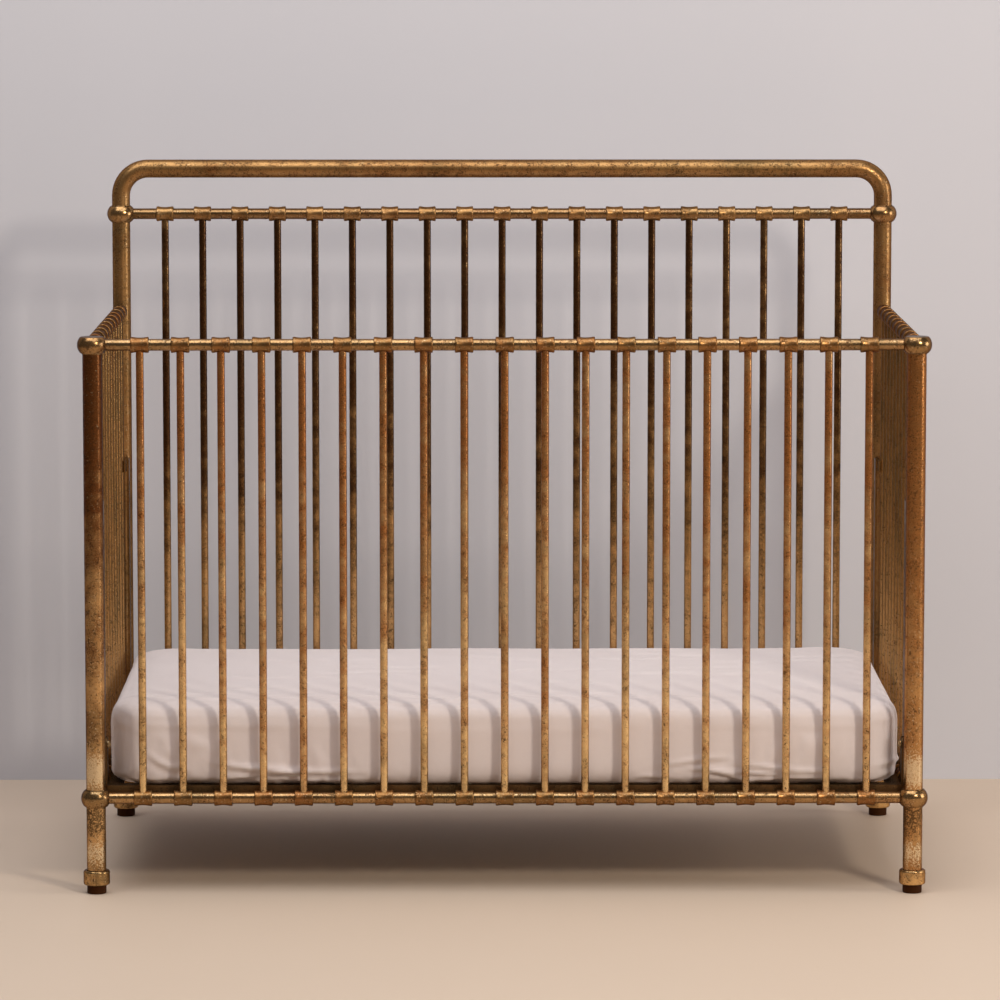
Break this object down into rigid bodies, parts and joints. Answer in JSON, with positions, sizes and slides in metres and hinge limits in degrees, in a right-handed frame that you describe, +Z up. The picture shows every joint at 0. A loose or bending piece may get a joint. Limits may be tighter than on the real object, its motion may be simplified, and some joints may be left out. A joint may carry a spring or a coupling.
{
  "type": "baby crib",
  "caption": "Antique-gold steel crib with spindle sides, ball-cast corners and a round-cornered back hoop, over a height-adjustable deck with a sheeted mattress.",
  "frame": {"origin": "on the floor, at the middle of the crib's footprint", "axes": "+X along the crib's length, +Y from the front towards the tall back panel, +Z up"},
  "size_m": [1.3918, 0.7776, 1.1699],
  "materials": {
    "antique_gold": "satin",
    "aged_bronze": "satin",
    "brass_bolts": "satin",
    "plated_steel": "satin",
    "brown_glide": "satin",
    "ticking": "matte",
    "blush_sheet": "matte"
  },
  "bodies": {
    "frame": {"front_left_post": "antique_gold", "front_right_post": "antique_gold", "back_left_post": "antique_gold", "back_right_post": "antique_gold", "back_hoop": "antique_gold", "hoop_sleeves": "plated_steel", "front_top_rail": "antique_gold", "front_bottom_rail": "antique_gold", "back_top_rail": "antique_gold", "back_bottom_rail": "antique_gold", "left_top_rail": "antique_gold", "right_top_rail": "antique_gold", "left_bottom_rail": "antique_gold", "right_bottom_rail": "antique_gold", "front_spindles": "antique_gold", "back_spindles": "antique_gold", "left_spindles": "antique_gold", "right_spindles": "antique_gold", "front_top_collars": "antique_gold", "front_bottom_collars": "antique_gold", "back_top_collars": "antique_gold", "back_bottom_collars": "antique_gold", "left_top_collars": "antique_gold", "right_top_collars": "antique_gold", "left_bottom_collars": "antique_gold", "right_bottom_collars": "antique_gold", "front_left_top_ball": "antique_gold", "front_right_top_ball": "antique_gold", "front_left_bottom_ball": "antique_gold", "front_right_bottom_ball": "antique_gold", "back_left_top_ball": "antique_gold", "back_right_top_ball": "antique_gold", "back_left_bottom_ball": "antique_gold", "back_right_bottom_ball": "antique_gold", "foot_ferrules": "antique_gold", "foot_inserts": "plated_steel", "front_panel_bolts": "brass_bolts", "end_panel_bolts": "brass_bolts", "rail_plugs": "plated_steel", "left_height_strips": "antique_gold", "right_height_strips": "antique_gold"},
    "deck": {"deck_long_angles": "aged_bronze", "deck_end_angles": "aged_bronze", "deck_slats": "aged_bronze", "deck_centre_bar": "aged_bronze", "deck_arms": "aged_bronze", "arm_bolts": "brass_bolts", "arm_nuts": "brass_bolts"},
    "mattress": {"mattress_core": "ticking", "fitted_sheet": "blush_sheet"},
    "front_left_foot": {"front_left_glide": "brown_glide"},
    "front_right_foot": {"front_right_glide": "brown_glide"},
    "back_left_foot": {"back_left_glide": "brown_glide"},
    "back_right_foot": {"back_right_glide": "brown_glide"}
  },
  "joints": [
    {"name": "deck_height", "type": "slide", "parent": "frame", "child": "deck", "axis": [0, 0, 1], "range_m": [0, 0.36]},
    {"name": "mattress_lift", "type": "slide", "parent": "deck", "child": "mattress", "axis": [0, 0, 1], "range_m": [0, 0.78]},
    {"name": "front_left_level", "type": "slide", "parent": "frame", "child": "front_left_foot", "axis": [0, 0, -1], "range_m": [0, 0.01]},
    {"name": "front_right_level", "type": "slide", "parent": "frame", "child": "front_right_foot", "axis": [0, 0, -1], "range_m": [0, 0.01]},
    {"name": "back_left_level", "type": "slide", "parent": "frame", "child": "back_left_foot", "axis": [0, 0, -1], "range_m": [0, 0.01]},
    {"name": "back_right_level", "type": "slide", "parent": "frame", "child": "back_right_foot", "axis": [0, 0, -1], "range_m": [0, 0.01]}
  ]
}
